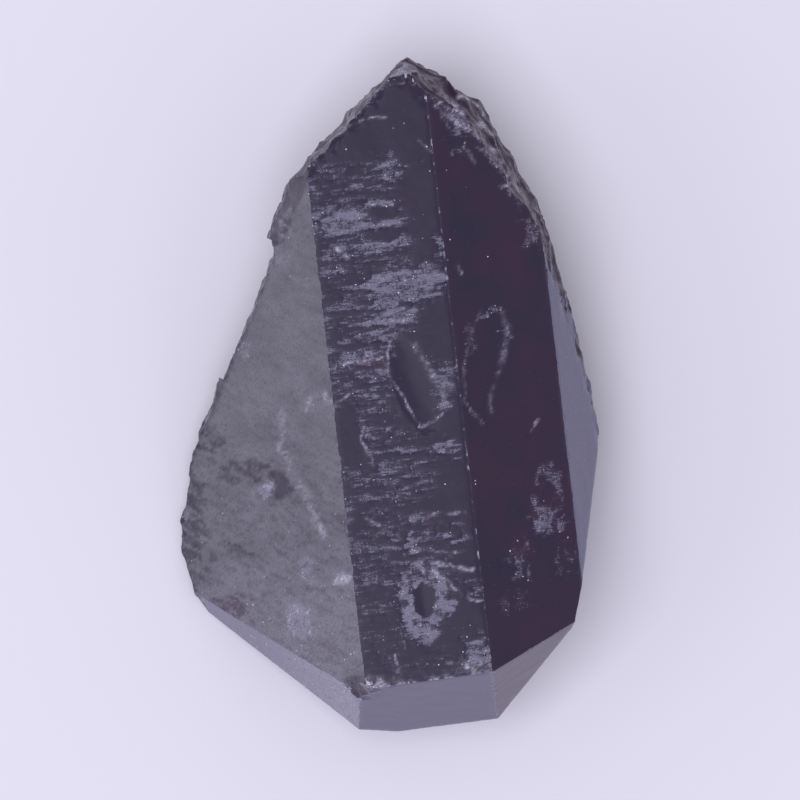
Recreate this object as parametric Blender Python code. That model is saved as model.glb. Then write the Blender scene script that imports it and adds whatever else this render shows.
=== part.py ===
"""Rough smoky quartz crystal, dark and almost opaque, lying on its broken side.

The crystal is one solid. Its habit is a stubby prism whose long edges run along Y,
with a blunt termination at the -Y end and a broken root at the +Y end. Flat crystal
faces are cut as exact planes. The breaks are rough surfaces of overlapping flake
scars, cut afterwards, so they leave ragged outlines on the flat faces.

Lengths are in millimetres and angles in degrees until the mesh is made in metres.
"""

import math

import bmesh
import bpy
from mathutils import Matrix, Vector, noise

MM = 0.001

# Driving dimensions of the prism, seen along its long edges.
RIDGE_X = 7.1
RIDGE_HEIGHT = 29.5
LEFT_SHOULDER_X = -4.4
RIGHT_SHOULDER_X = 16.05
LEFT_TOP_LEAN = 20.0
RIGHT_TOP_LEAN = 25.0
LEFT_FLANK_LEAN = 57.5
RIGHT_FLANK_LEAN = 72.0

# Where the ridge and the left shoulder end at the termination.
RIDGE_END_Y = -25.4
LEFT_SHOULDER_END_Y = -26.4
TIP_Y = -29.9
BLOCK_SIZE = 120.0


def fall(lean, run):
    """How far a face of this lean drops over a horizontal run."""
    return math.tan(math.radians(lean)) * abs(run)


LEFT_SHOULDER_HEIGHT = RIDGE_HEIGHT - fall(LEFT_TOP_LEAN, RIDGE_X - LEFT_SHOULDER_X)
RIGHT_SHOULDER_HEIGHT = RIDGE_HEIGHT - fall(RIGHT_TOP_LEAN, RIGHT_SHOULDER_X - RIDGE_X)

RIDGE = (RIDGE_X, 0.0, RIDGE_HEIGHT)
RIDGE_END = (RIDGE_X, RIDGE_END_Y, RIDGE_HEIGHT)
LEFT_SHOULDER = (LEFT_SHOULDER_X, 0.0, LEFT_SHOULDER_HEIGHT)
LEFT_SHOULDER_END = (LEFT_SHOULDER_X, LEFT_SHOULDER_END_Y, LEFT_SHOULDER_HEIGHT)
RIGHT_SHOULDER = (RIGHT_SHOULDER_X, 0.0, RIGHT_SHOULDER_HEIGHT)

# Flat crystal faces: a point on the face, the lean of its outward normal from
# straight up, and the compass bearing of that normal, from +X towards +Y.
# A lean over 90 is a face that looks down.
CRYSTAL_FACES = {
    "left_top": (RIDGE, LEFT_TOP_LEAN, 180.0),
    "right_top": (RIDGE, RIGHT_TOP_LEAN, 0.0),
    "left_flank": (LEFT_SHOULDER, LEFT_FLANK_LEAN, 180.0),
    "right_flank": (RIGHT_SHOULDER, RIGHT_FLANK_LEAN, 0.0),
    "tip_middle": (RIDGE_END, 72.7, -95.0),
    "tip_right": (RIDGE_END, 75.0, -58.9),
    "tip_left": (LEFT_SHOULDER_END, 77.9, -142.8),
    "under_tip": ((1.3, TIP_Y, 13.5), 129.0, -73.3),
    "under_tip_right": ((10.8, -25.7, 19.0), 106.0, -30.4),
    "under_right": ((17.6, -11.8, 20.0), 96.3, -18.1),
    "under_tip_left": ((-11.5, -23.4, 7.1), 121.3, -108.2),
    "base": ((0.0, 0.0, 0.0), 180.0, 0.0),
}


class Break:
    """A rough broken surface: a mean plane, and the flake scars on it."""

    def __init__(self, through, lean, bearing, scar, depth, grain=0.2, span=50.0, step=1.0, seed=0.0):
        self.through = through
        self.lean = lean
        self.bearing = bearing
        self.scar = scar
        self.depth = depth
        self.grain = grain
        self.span = span
        self.step = step
        self.seed = seed

    def height(self, u, v):
        """Height of the broken surface over its mean plane."""
        broad = noise.voronoi(Vector((u, v, 0.0)) / self.scar + Vector((0.0, 0.0, self.seed)))[0][0]
        small_size = self.scar / 2.7
        small = noise.voronoi(Vector((u, v, 0.0)) / small_size + Vector((3.1, 1.7, self.seed)))[0][0]
        rough = noise.fractal(Vector((u, v, self.seed * 7.0)) / 1.9, 1.0, 2.1, 3)
        dish = broad * broad - 0.25
        small_dish = small * small - 0.25
        return self.depth * (dish + 0.3 * small_dish) + self.grain * rough


BREAKS = {
    "tip_of_root": Break((6.2, 28.5, 28.6), 76.0, 92.0, 2.6, 0.6, seed=1.3),
    "root_left": Break((-0.2, 24.8, 26.6), 87.0, 131.0, 3.0, 0.7, seed=2.1),
    "left_upper": Break((-7.5, 17.0, 20.2), 80.0, 160.6, 2.8, 0.6, seed=3.7),
    "left_middle": Break((-18.4, -4.9, 2.6), 97.0, 149.0, 3.4, 0.8, seed=4.9),
    "left_lower": Break((-18.9, -6.5, 2.6), 98.0, 170.0, 3.0, 0.8, seed=5.4),
    "left_corner": Break((-18.9, -14.2, 2.4), 100.0, 196.0, 2.4, 0.5, seed=5.9),
    "root_right": Break((9.6, 24.4, 26.9), 80.0, 40.0, 4.4, 1.2, seed=6.1),
    "root_right_low": Break((13.4, 19.2, 23.3), 82.0, 24.0, 3.4, 0.8, seed=6.8),
    "right_shoulder_break": Break((16.2, 13.0, 22.6), 84.0, 8.0, 3.0, 0.6, seed=7.7),
    "right_upper": Break((18.1, 2.0, 17.5), 99.0, 9.0, 3.2, 0.7, seed=8.3),
    "left_bite": Break((-10.7, 9.0, 12.5), 90.0, 151.0, 2.4, 0.35, span=13.0, step=0.65, seed=16.3),
    "root_under": Break((6.4, 29.3, 21.0), 128.0, 97.0, 8.0, 2.2, seed=9.9),
    "left_under": Break((-11.6, 8.4, 8.0), 130.0, 140.0, 6.0, 1.6, seed=10.7),
    "right_under_break": Break((17.6, 6.0, 12.0), 122.0, 22.0, 7.0, 1.8, seed=11.2),
    "base_root": Break((3.0, 6.0, 0.0), 166.0, 80.0, 6.0, 1.4, seed=12.5),
    "base_left": Break((-11.5, -8.0, 0.0), 173.5, 185.0, 5.0, 0.6, seed=13.1),
    "base_tip": Break((2.0, -17.0, 0.0), 164.0, -85.0, 5.0, 1.0, seed=14.6),
    "chipped_corner": Break((-3.75, -25.8, 24.8), 61.0, -138.5, 1.5, 0.35, 0.08, 9.0, 0.45, seed=15.2),
}

# Etch pits in the flat faces: the place of the middle seen from above, the length
# and width of the opening, the depth, and how far the long way turns from Y to X.
PITS = {
    "long_oval": ((3.1, 0.9), 9.6, 3.9, 0.35, -15.3),
    "right_oval": ((9.7, 1.1), 8.1, 3.1, 0.3, 21.4),
    "ring_pit": ((1.7, -18.4), 4.1, 2.4, 0.4, 4.0),
    "small_ring": ((13.8, -10.0), 3.2, 1.8, 0.3, 12.0),
    "flank_pit": ((-10.9, -6.7), 1.8, 1.5, 0.35, 0.0),
}


def direction(lean, bearing):
    """Outward unit normal of a face with this lean and bearing."""
    lean = math.radians(lean)
    bearing = math.radians(bearing)
    flat = math.sin(lean)
    return Vector((flat * math.cos(bearing), flat * math.sin(bearing), math.cos(lean)))


def facing(through, lean, bearing):
    """The frame of a face: Z is its outward normal, and Y stays close to the prism's Y."""
    out = direction(lean, bearing)
    along = Vector((0.0, 1.0, 0.0)) if abs(out.y) < 0.7 else Vector((0.0, 0.0, 1.0))
    across = along.cross(out).normalized()
    along = out.cross(across)
    turn = Matrix((across, along, out)).transposed().to_4x4()
    return Matrix.Translation(through) @ turn


def cut_face(mesh, through, lean, bearing):
    """Cuts the convex block with one exact plane and closes the cut."""
    cut = bmesh.ops.bisect_plane(
        mesh,
        geom=mesh.verts[:] + mesh.edges[:] + mesh.faces[:],
        plane_co=Vector(through),
        plane_no=direction(lean, bearing),
        clear_outer=True,
    )
    rim = [item for item in cut["geom_cut"] if isinstance(item, bmesh.types.BMEdge)]
    if rim:
        bmesh.ops.edgeloop_fill(mesh, edges=rim)


def mesh_object(name, mesh):
    """Stores a mesh made in millimetres as an object in metres."""
    bmesh.ops.recalc_face_normals(mesh, faces=mesh.faces)
    mesh.transform(Matrix.Scale(MM, 4))
    data = bpy.data.meshes.new(name)
    mesh.to_mesh(data)
    mesh.free()
    item = bpy.data.objects.new(name, data)
    bpy.context.scene.collection.objects.link(item)
    return item


def perfect_crystal():
    """The flat crystal faces with sharp edges, and each break still as a flat."""
    mesh = bmesh.new()
    bmesh.ops.create_cube(mesh, size=BLOCK_SIZE)
    for through, lean, bearing in CRYSTAL_FACES.values():
        cut_face(mesh, through, lean, bearing)
    for rough in BREAKS.values():
        spare = direction(rough.lean, rough.bearing) * (rough.depth + 1.0)
        cut_face(mesh, Vector(rough.through) + spare, rough.lean, rough.bearing)
    return mesh_object("smoky_quartz_crystal", mesh)


def break_cutter(name, rough):
    """A block over the broken surface, which takes away what broke off."""
    count = round(rough.span / rough.step)
    mesh = bmesh.new()
    bmesh.ops.create_grid(mesh, x_segments=count, y_segments=count, size=rough.span / 2)
    for vert in mesh.verts:
        vert.co.z = rough.height(vert.co.x, vert.co.y)
    skirt = bmesh.ops.extrude_face_region(mesh, geom=mesh.faces[:])
    for item in skirt["geom"]:
        if isinstance(item, bmesh.types.BMVert):
            item.co.z = 3.0 * rough.depth + 3.0
    mesh.transform(facing(rough.through, rough.lean, rough.bearing))
    cutter = mesh_object(name + "_cutter", mesh)
    cutter.hide_render = True
    cutter.display_type = "WIRE"
    return cutter


def face_under(spot):
    """The frame of the upper face at a spot seen from above, with its origin on the face."""
    found = None
    for through, lean, bearing in list(CRYSTAL_FACES.values())[:4]:
        out = direction(lean, bearing)
        run = (spot[0] - through[0]) * out.x + (spot[1] - through[1]) * out.y
        height = through[2] - run / out.z
        if found is None or height < found[0]:
            found = (height, lean, bearing)
    height, lean, bearing = found
    return facing((spot[0], spot[1], height), lean, bearing)


def pit_cutter(name, spot, length, width, depth, turn):
    """A lens whose lower half is the pit."""
    mesh = bmesh.new()
    bmesh.ops.create_uvsphere(mesh, u_segments=22, v_segments=11, radius=1.0)
    size = Matrix.Diagonal((width / 2, length / 2, depth, 1.0))
    spin = Matrix.Rotation(math.radians(-turn), 4, "Z")
    mesh.transform(face_under(spot) @ spin @ size)
    cutter = mesh_object(name + "_cutter", mesh)
    cutter.hide_render = True
    cutter.display_type = "WIRE"
    return cutter


def take_away(item, cutter):
    """Cuts one solid from another and keeps the result in the mesh."""
    modifier = item.modifiers.new(cutter.name, "BOOLEAN")
    modifier.operation = "DIFFERENCE"
    modifier.object = cutter
    graph = bpy.context.evaluated_depsgraph_get()
    result = bpy.data.meshes.new_from_object(item.evaluated_get(graph))
    item.modifiers.clear()
    item.data = result
    bpy.data.objects.remove(cutter)


def quartz_material():
    """Dark smoky quartz: glassy, and black unless a sliver is thin."""
    material = bpy.data.materials.new("smoky_quartz")
    material.use_nodes = True
    shader = material.node_tree.nodes["Principled BSDF"]
    shader.inputs["Base Color"].default_value = (0.036, 0.028, 0.045, 1.0)
    shader.inputs["Roughness"].default_value = 0.2
    shader.inputs["IOR"].default_value = 1.54
    return material


def settle(item):
    """Puts the origin in the middle of the footprint, on the ground."""
    corners = [Vector(corner) for corner in item.bound_box]
    low = Vector(min(corner[axis] for corner in corners) for axis in range(3))
    high = Vector(max(corner[axis] for corner in corners) for axis in range(3))
    item.data.transform(Matrix.Translation((-(low.x + high.x) / 2, -(low.y + high.y) / 2, -low.z)))


def clear_scene():
    """Starts from nothing."""
    for item in list(bpy.data.objects):
        bpy.data.objects.remove(item)


def build():
    clear_scene()
    crystal = perfect_crystal()
    for name, rough in BREAKS.items():
        take_away(crystal, break_cutter(name, rough))
    for name, pit in PITS.items():
        take_away(crystal, pit_cutter(name, *pit))
    crystal.data.materials.clear()
    crystal.data.materials.append(quartz_material())
    settle(crystal)


build()
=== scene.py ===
"""Looks of a rough smoky quartz crystal, dark and almost opaque, lying on its broken side.

The crystal is one closed mesh. Each face and each break is a surface of heights over
its mean plane: growth lines, etched terraces and pits on the faces, flake scars on the
breaks. The surfaces are cut one after another from a block, as in the part's source.
Marks such as frost, dust and worn edges, and painted glints and painted light through thin
edges, are painted as attributes of the mesh, which the materials read.

Places on the crystal are in millimetres, with the ridge along Y. Settings that a user
would change are Blender properties, in metres.
"""

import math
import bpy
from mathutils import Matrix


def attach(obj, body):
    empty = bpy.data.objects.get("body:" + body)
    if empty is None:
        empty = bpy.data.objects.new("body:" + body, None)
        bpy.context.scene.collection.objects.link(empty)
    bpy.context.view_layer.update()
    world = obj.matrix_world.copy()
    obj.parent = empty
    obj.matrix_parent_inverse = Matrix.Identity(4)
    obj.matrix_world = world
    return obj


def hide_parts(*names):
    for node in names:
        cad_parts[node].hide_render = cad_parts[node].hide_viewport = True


bl_info = {
    "name": "Rough Smoky Quartz Crystal",
    "version": (1, 0, 0),
    "blender": (4, 5, 0),
    "location": "3D View > Sidebar > Crystal",
    "description": "Builds a dark, rough quartz crystal with etched faces and broken sides",
    "category": "Add Mesh",
}

import bmesh
import bpy
import numpy as np
from mathutils import Matrix, Vector, bvhtree, noise

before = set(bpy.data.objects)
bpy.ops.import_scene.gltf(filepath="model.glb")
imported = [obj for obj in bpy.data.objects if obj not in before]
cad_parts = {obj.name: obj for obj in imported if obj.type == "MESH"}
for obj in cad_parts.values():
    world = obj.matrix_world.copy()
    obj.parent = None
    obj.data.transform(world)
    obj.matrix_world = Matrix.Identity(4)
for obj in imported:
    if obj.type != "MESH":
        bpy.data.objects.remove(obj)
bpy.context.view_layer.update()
NODE = "smoky_quartz_crystal"
BODY = "root"

MM = 0.001

# The part's frame is this far from the frame in which the crystal is laid out.
PART_SHIFT = (0.204, -0.136, 0.0)

# Driving dimensions of the prism, the same as in the part's source.
RIDGE_X = 7.1
RIDGE_HEIGHT = 29.5
LEFT_SHOULDER_X = -4.4
RIGHT_SHOULDER_X = 16.05
LEFT_TOP_LEAN = 20.0
RIGHT_TOP_LEAN = 25.0
LEFT_FLANK_LEAN = 57.5
RIGHT_FLANK_LEAN = 72.0
RIDGE_END_Y = -25.4
LEFT_SHOULDER_END_Y = -26.4
TIP_Y = -29.9
BLOCK_SIZE = 120.0


def fall(lean, run):
    """How far a face of this lean drops over a horizontal run."""
    return math.tan(math.radians(lean)) * abs(run)


LEFT_SHOULDER_HEIGHT = RIDGE_HEIGHT - fall(LEFT_TOP_LEAN, RIDGE_X - LEFT_SHOULDER_X)
RIGHT_SHOULDER_HEIGHT = RIDGE_HEIGHT - fall(RIGHT_TOP_LEAN, RIGHT_SHOULDER_X - RIDGE_X)
RIDGE = (RIDGE_X, 0.0, RIDGE_HEIGHT)
RIDGE_END = (RIDGE_X, RIDGE_END_Y, RIDGE_HEIGHT)
LEFT_SHOULDER = (LEFT_SHOULDER_X, 0.0, LEFT_SHOULDER_HEIGHT)
LEFT_SHOULDER_END = (LEFT_SHOULDER_X, LEFT_SHOULDER_END_Y, LEFT_SHOULDER_HEIGHT)
RIGHT_SHOULDER = (RIGHT_SHOULDER_X, 0.0, RIGHT_SHOULDER_HEIGHT)

# Flat crystal faces: a point on the face, the lean of its outward normal from straight
# up, and the bearing of that normal from +X towards +Y.
CRYSTAL_FACES = {
    "left_top": (RIDGE, LEFT_TOP_LEAN, 180.0),
    "right_top": (RIDGE, RIGHT_TOP_LEAN, 0.0),
    "left_flank": (LEFT_SHOULDER, LEFT_FLANK_LEAN, 180.0),
    "right_flank": (RIGHT_SHOULDER, RIGHT_FLANK_LEAN, 0.0),
    "tip_middle": (RIDGE_END, 72.7, -95.0),
    "tip_right": (RIDGE_END, 75.0, -58.9),
    "tip_left": (LEFT_SHOULDER_END, 77.9, -142.8),
    "under_tip": ((1.3, TIP_Y, 13.5), 129.0, -73.3),
    "under_tip_right": ((10.8, -25.7, 19.0), 106.0, -30.4),
    "under_right": ((17.6, -11.8, 20.0), 96.3, -18.1),
    "under_tip_left": ((-11.5, -23.4, 7.1), 121.3, -108.2),
    "base": ((0.0, 0.0, 0.0), 180.0, 0.0),
}

# Breaks: a point on the mean plane, lean, bearing, width of the flake scars, their
# depth, the grain's depth and the seed.
BREAKS = {
    "tip_of_root": ((6.2, 28.5, 28.6), 76.0, 92.0, 2.6, 0.6, 0.2, 1.3),
    "root_left": ((-0.2, 24.8, 26.6), 87.0, 131.0, 3.0, 0.7, 0.2, 2.1),
    "left_upper": ((-7.5, 17.0, 20.2), 80.0, 160.6, 2.8, 0.6, 0.2, 3.7),
    "left_middle": ((-18.4, -4.9, 2.6), 97.0, 149.0, 3.4, 0.8, 0.2, 4.9),
    "left_lower": ((-18.9, -6.5, 2.6), 98.0, 170.0, 3.0, 0.8, 0.2, 5.4),
    "left_corner": ((-18.9, -14.2, 2.4), 100.0, 196.0, 2.4, 0.5, 0.2, 5.9),
    "root_right": ((9.6, 24.4, 26.9), 80.0, 40.0, 4.4, 1.2, 0.2, 6.1),
    "root_right_low": ((13.4, 19.2, 23.3), 82.0, 24.0, 3.4, 0.8, 0.2, 6.8),
    "right_shoulder_break": ((16.2, 13.0, 22.6), 84.0, 8.0, 3.0, 0.6, 0.2, 7.7),
    "right_upper": ((18.1, 2.0, 17.5), 99.0, 9.0, 3.2, 0.7, 0.2, 8.3),
    "left_bite": ((-10.7, 9.0, 12.5), 90.0, 151.0, 2.4, 0.35, 0.2, 16.3),
    "root_under": ((6.4, 29.3, 21.0), 128.0, 97.0, 8.0, 2.2, 0.2, 9.9),
    "left_under": ((-11.6, 8.4, 8.0), 130.0, 140.0, 6.0, 1.6, 0.2, 10.7),
    "right_under_break": ((17.6, 6.0, 12.0), 122.0, 22.0, 7.0, 1.8, 0.2, 11.2),
    "base_root": ((3.0, 6.0, 0.0), 166.0, 80.0, 6.0, 1.4, 0.2, 12.5),
    "base_left": ((-11.5, -8.0, 0.0), 173.5, 185.0, 5.0, 0.6, 0.2, 13.1),
    "base_tip": ((2.0, -17.0, 0.0), 164.0, -85.0, 5.0, 1.0, 0.2, 14.6),
    "chipped_corner": ((-3.75, -25.8, 24.8), 61.0, -138.5, 1.5, 0.35, 0.08, 15.2),
}

# A bite is a break that reaches only this far each way from its middle.
BITE_REACH = {"left_bite": 6.5}
BITE_SPARE = 2.2

# Etch pits, seen from above: middle, length, width, depth, and turn from Y to X.
PITS = {
    "long_oval": ((3.1, 0.9), 9.6, 3.9, 0.35, -15.3),
    "right_oval": ((9.7, 1.1), 8.1, 3.1, 0.3, 21.4),
    "ring_pit": ((1.7, -18.4), 4.1, 2.4, 0.4, 4.0),
    "small_ring": ((13.8, -10.0), 3.2, 1.8, 0.3, 12.0),
    "flank_pit": ((-10.9, -6.7), 1.8, 1.5, 0.35, 0.0),
}

# Frosted patches of the left top face, seen from above: middle x and y, width, height
# and how much of the patch is frosted. From the root to the tip.
LEFT_TOP_FROST = [
    (3.1, 20.4, 2.4, 1.9, 0.75), (6.2, -23.5, 2.2, 3.2, 0.8), (-2.9, 20.0, 2.4, 3.1, 0.55),
    (5.3, 20.6, 1.2, 0.4, 0.5), (-1.1, 17.6, 1.7, 2.1, 0.6), (1.6, 17.5, 2.6, 0.4, 0.8),
    (0.6, 16.9, 0.7, 1.7, 0.8), (-1.6, 16.2, 5.2, 3.0, 0.85), (2.2, 15.7, 3.6, 1.2, 0.8),
    (1.6, 13.7, 5.7, 1.0, 0.75), (6.9, 13.0, 1.3, 2.7, 0.5), (-1.5, 11.6, 3.2, 1.3, 0.55),
    (3.4, 9.9, 7.6, 3.5, 0.85), (-1.3, 8.2, 2.2, 1.9, 0.5), (1.6, 7.4, 4.4, 2.6, 0.85),
    (-2.7, 6.3, 3.6, 0.8, 0.55), (-1.4, 4.1, 3.9, 1.6, 0.7), (1.1, 2.1, 1.2, 1.6, 0.5),
    (-3.3, 1.3, 2.2, 1.5, 0.5), (5.8, 0.5, 2.3, 4.4, 0.6), (0.0, -4.0, 4.6, 4.1, 0.45),
    (5.1, -4.9, 2.3, 2.2, 0.6), (-1.2, -7.7, 6.4, 3.9, 0.55), (-3.0, -9.6, 3.0, 3.0, 0.4),
    (1.0, -13.0, 1.9, 2.1, 0.85), (2.4, -12.8, 0.8, 0.9, 0.7), (3.7, -12.7, 1.1, 0.8, 0.6),
    (5.3, -12.7, 1.7, 1.7, 0.75), (-1.1, -13.9, 1.8, 2.1, 0.7), (-3.5, -15.8, 2.2, 2.4, 0.5),
    (1.3, -16.3, 1.1, 1.4, 0.6), (4.0, -16.8, 2.7, 2.5, 0.35), (6.4, -17.8, 1.6, 2.2, 0.45),
    (0.0, -19.0, 1.3, 1.5, 0.75), (0.8, -20.7, 4.3, 2.1, 0.68), (1.3, -21.3, 2.3, 0.9, 0.95),
    (3.7, -19.4, 1.5, 1.3, 1.0), (6.3, -24.1, 2.3, 3.2, 0.6), (4.2, -25.2, 2.7, 2.6, 0.35),
    (-4.9, -24.7, 2.4, 3.4, 0.45), (1.6, -25.8, 5.4, 0.7, 0.6),
]

# Clear dark windows in that face, laid out the same way.
LEFT_TOP_CLEAR = [
    (2.0, 16.6, 2.2, 1.0, 0.8), (1.9, 14.6, 2.8, 1.2, 0.8), (3.1, 8.3, 1.3, 0.6, 0.8),
    (0.0, 8.6, 0.7, 0.5, 0.8), (2.9, 1.2, 3.0, 7.6, 1.0), (-3.2, -2.8, 2.2, 5.3, 0.95),
    (4.5, -9.8, 4.6, 1.5, 0.85), (0.6, -12.6, 0.7, 0.7, 0.9), (5.3, -12.7, 0.8, 0.8, 0.9),
    (1.7, -18.2, 2.1, 2.9, 1.0), (5.4, 16.6, 2.4, 6.4, 0.6),
]

# Purple patches of that face.
LEFT_TOP_PURPLE = [(-0.3, 3.6, 1.8, 1.4, 1.0), (3.0, -11.2, 1.2, 0.8, 0.7), (0.9, -15.8, 2.2, 1.0, 0.6)]

# Frosted patches of the right top face.
RIGHT_TOP_FROST = [
    (9.4, 26.2, 1.6, 1.9, 0.35), (10.1, 23.7, 2.2, 2.4, 0.6), (8.0, 22.6, 0.7, 0.6, 0.5),
    (9.4, 21.7, 1.1, 1.8, 0.5), (13.4, 17.3, 1.4, 0.9, 0.5), (15.0, 13.3, 1.8, 2.8, 0.4),
    (10.9, 6.7, 2.0, 0.8, 0.55), (11.8, 4.4, 1.3, 2.0, 0.5), (8.5, 4.5, 1.1, 3.4, 0.3),
    (14.0, -12.7, 1.6, 2.4, 0.5), (12.5, -12.3, 1.4, 3.2, 0.55), (10.6, -15.7, 2.1, 4.4, 0.45),
    (14.5, -16.1, 1.6, 2.7, 0.35), (9.9, -19.3, 2.7, 1.8, 0.25),
]

# Pale and dark patches of the left flank.
LEFT_FLANK_PALE = [
    (-7.3, 16.3, 1.3, 1.7, 0.8), (-7.7, 14.5, 1.4, 2.0, 0.7), (-6.4, 17.6, 0.9, 1.2, 0.6),
    (-8.6, 12.7, 0.4, 1.3, 0.6), (-11.7, 5.8, 0.9, 1.8, 0.6), (-9.0, -1.8, 0.9, 3.3, 0.35),
    (-11.4, -7.0, 1.1, 1.2, 0.8), (-18.7, -8.5, 0.5, 2.6, 0.7), (-8.4, -14.6, 1.3, 2.6, 0.6),
    (-5.4, -15.5, 0.9, 0.7, 1.0), (-9.5, -19.2, 2.0, 3.3, 0.7), (-10.0, -21.7, 2.3, 0.9, 0.45),
]
LEFT_FLANK_DARK = [
    (-15.6, -2.5, 2.0, 2.8, 0.8), (-13.1, -4.9, 4.2, 2.1, 0.75), (-10.3, -6.6, 1.5, 2.4, 1.0),
    (-13.5, -12.2, 1.2, 0.5, 0.9), (-14.6, -11.9, 1.4, 0.6, 0.6), (-15.7, -17.3, 3.2, 2.0, 1.0),
    (-18.2, -9.2, 2.1, 11.5, 0.85), (-7.3, -16.6, 3.2, 0.7, 0.4), (-11.7, -21.9, 9.0, 2.9, 0.25),
]

# Where the flank's dust is off, in its pit and by the chipped corner, and a purple patch.
LEFT_FLANK_BARE = [(-10.2, -6.5, 1.7, 2.5, 1.0), (-5.2, -24.9, 1.9, 1.1, 1.0)]
LEFT_FLANK_PURPLE = [(-15.7, -17.3, 3.2, 2.0, 1.0)]

# Bright lines, seen from above: the points they run through, width and strength.
LEFT_TOP_LINES = [
    ([(-1.7, 23.9), (0.1, 24.7), (1.1, 25.0), (2.1, 25.1), (3.4, 25.0)], 0.14, 0.4),
    ([(2.6, 28.1), (5.1, 27.9)], 0.16, 0.45), ([(4.9, -24.7), (5.5, -24.9)], 0.6, 0.7),
    ([(6.2, -24.7), (6.7, -24.9)], 0.5, 0.6), ([(-4.0, -25.1), (-3.0, -25.4)], 0.7, 0.5),
    ([(5.9, 22.7), (7.0, 21.4)], 0.14, 0.35),
    ([(1.7, 5.5), (1.0, 4.2), (0.8, 2.4), (1.6, 0.6), (2.3, -0.9), (3.1, -2.8)], 0.13, 0.5),
    ([(3.5, 4.5), (4.2, 3.3), (4.5, 2.2), (5.0, 1.2), (5.5, 0.1), (5.5, -1.1)], 0.42, 0.3),
    ([(3.1, -2.9), (4.3, -2.5), (5.6, -1.7)], 0.15, 0.3),
    ([(-2.0, -1.7), (-1.8, -2.4), (-2.2, -3.2), (-2.1, -3.9), (-1.6, -4.7), (-1.4, -5.9)], 0.16, 0.5),
    ([(-2.6, -10.4), (-1.9, -11.0), (-1.1, -11.6), (-0.5, -12.1)], 0.14, 0.35),
    ([(2.4, -11.2), (3.6, -10.7), (6.2, -10.9)], 0.14, 0.35),
    ([(2.2, -13.7), (4.3, -14.4), (6.1, -14.3)], 0.13, 0.45),
    ([(2.9, -15.1), (4.6, -15.5), (6.4, -16.1)], 0.2, 0.5),
    ([(2.7, -15.8), (3.8, -16.6), (4.6, -17.6), (5.2, -18.2)], 0.16, 0.4),
    ([(5.6, -17.9), (5.9, -18.8), (7.0, -18.9)], 0.16, 0.45),
    ([(7.1, 12.4), (7.4, 11.8), (8.1, 11.1)], 0.16, 0.5), ([(-1.4, -23.0), (-1.3, -24.4)], 0.12, 0.6),
    ([(-0.5, -21.8), (-0.5, -22.3)], 0.13, 0.9), ([(3.0, -24.1), (4.3, -24.3)], 0.12, 0.5),
    ([(-3.0, 3.5), (0.5, 3.7)], 0.13, 0.6), ([(1.6, 7.0), (4.0, 6.5)], 0.13, 0.5),
    ([(-4.2, 0.1), (-2.4, 0.9)], 0.14, 0.4), ([(1.1, 17.4), (3.0, 17.3)], 0.13, 0.7),
    ([(-2.4, 13.9), (-1.6, 13.0)], 0.2, 0.8),
]
# On the right top face the first four lines are pale rims around the oval pit. The short line at x 13.8, y
# -3.5 and the lines near the root, above y 18.5, are painted glints, where facets catch the light.
RIGHT_TOP_LINES = [
    ([(9.9, 7.0), (9.2, 5.9), (8.5, 4.4), (7.9, 2.9), (7.5, 0.9), (7.5, -1.3)], 0.14, 0.16),
    ([(7.5, -1.3), (8.3, -2.6), (8.8, -3.2)], 0.13, 0.6),
    ([(10.8, 6.9), (11.7, 6.4), (12.0, 4.9), (11.5, 3.1), (10.7, 1.2)], 0.3, 0.2),
    ([(10.7, 1.2), (9.9, -0.6), (9.6, -1.5), (9.6, -2.3)], 0.25, 0.14),
    ([(13.8, -3.5), (13.0, -4.2)], 0.14, 0.6), ([(8.0, 26.2), (8.8, 25.3), (9.4, 24.8)], 0.14, 0.8),
    ([(9.2, 24.4), (9.9, 23.7), (10.9, 22.7)], 0.2, 0.6),
    ([(9.7, 24.2), (11.4, 22.3), (12.2, 20.6)], 0.16, 0.5),
    ([(11.1, 21.6), (12.4, 20.0), (13.2, 19.0)], 0.14, 0.35),
    ([(7.9, 25.6), (9.3, 23.9), (10.1, 23.3)], 0.22, 0.4), ([(9.6, 25.1), (11.2, 23.2)], 0.16, 0.8),
    ([(8.3, 24.6), (8.9, 23.2)], 0.16, 0.3), ([(10.0, 21.6), (10.8, 20.1)], 0.18, 0.25),
    ([(12.7, 17.6), (13.5, 17.7), (14.2, 17.5)], 0.16, 0.7), ([(8.1, 11.1), (8.4, 10.3)], 0.18, 0.6),
]
LEFT_FLANK_LINES = [
    ([(-4.2, 0.1), (-5.0, 0.9), (-6.0, 0.7), (-7.0, 0.1)], 0.5, 0.35),
    ([(-8.9, -0.4), (-9.4, -3.4), (-8.9, -4.6), (-8.4, -6.4), (-7.4, -8.3)], 0.5, 0.22),
    ([(-7.4, -8.3), (-7.1, -10.1), (-6.4, -11.6)], 0.45, 0.28),
    ([(-5.6, -15.5), (-5.1, -15.4)], 0.6, 0.6), ([(-11.8, -7.3), (-11.1, -6.7)], 0.7, 0.4),
    (
        [(-10.1, -20.7), (-10.4, -18.8), (-9.4, -17.8), (-8.7, -18.3), (-8.6, -19.2), (-9.1, -20.0)],
        0.25, 0.4,
    ),
]

# Painted glints on the right breaks: streaks where flake scars catch the light, laid out as the lines
# above. The last one is a pale patch on the chipped corner.
BREAK_GLINT_LINES = [
    ([(8.2, 26.6), (9.4, 25.6), (10.3, 24.4)], 0.2, 0.8),
    ([(9.8, 25.9), (10.9, 25.2), (11.9, 24.2)], 0.18, 0.7), ([(11.5, 23.6), (12.6, 22.4)], 0.2, 0.5),
    ([(12.2, 21.4), (13.2, 19.6)], 0.16, 0.5), ([(13.2, 18.9), (14.4, 17.2)], 0.2, 0.4),
    ([(-4.2, -25.0), (-3.6, -25.5), (-2.8, -25.7)], 0.9, 0.6),
]
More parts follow.
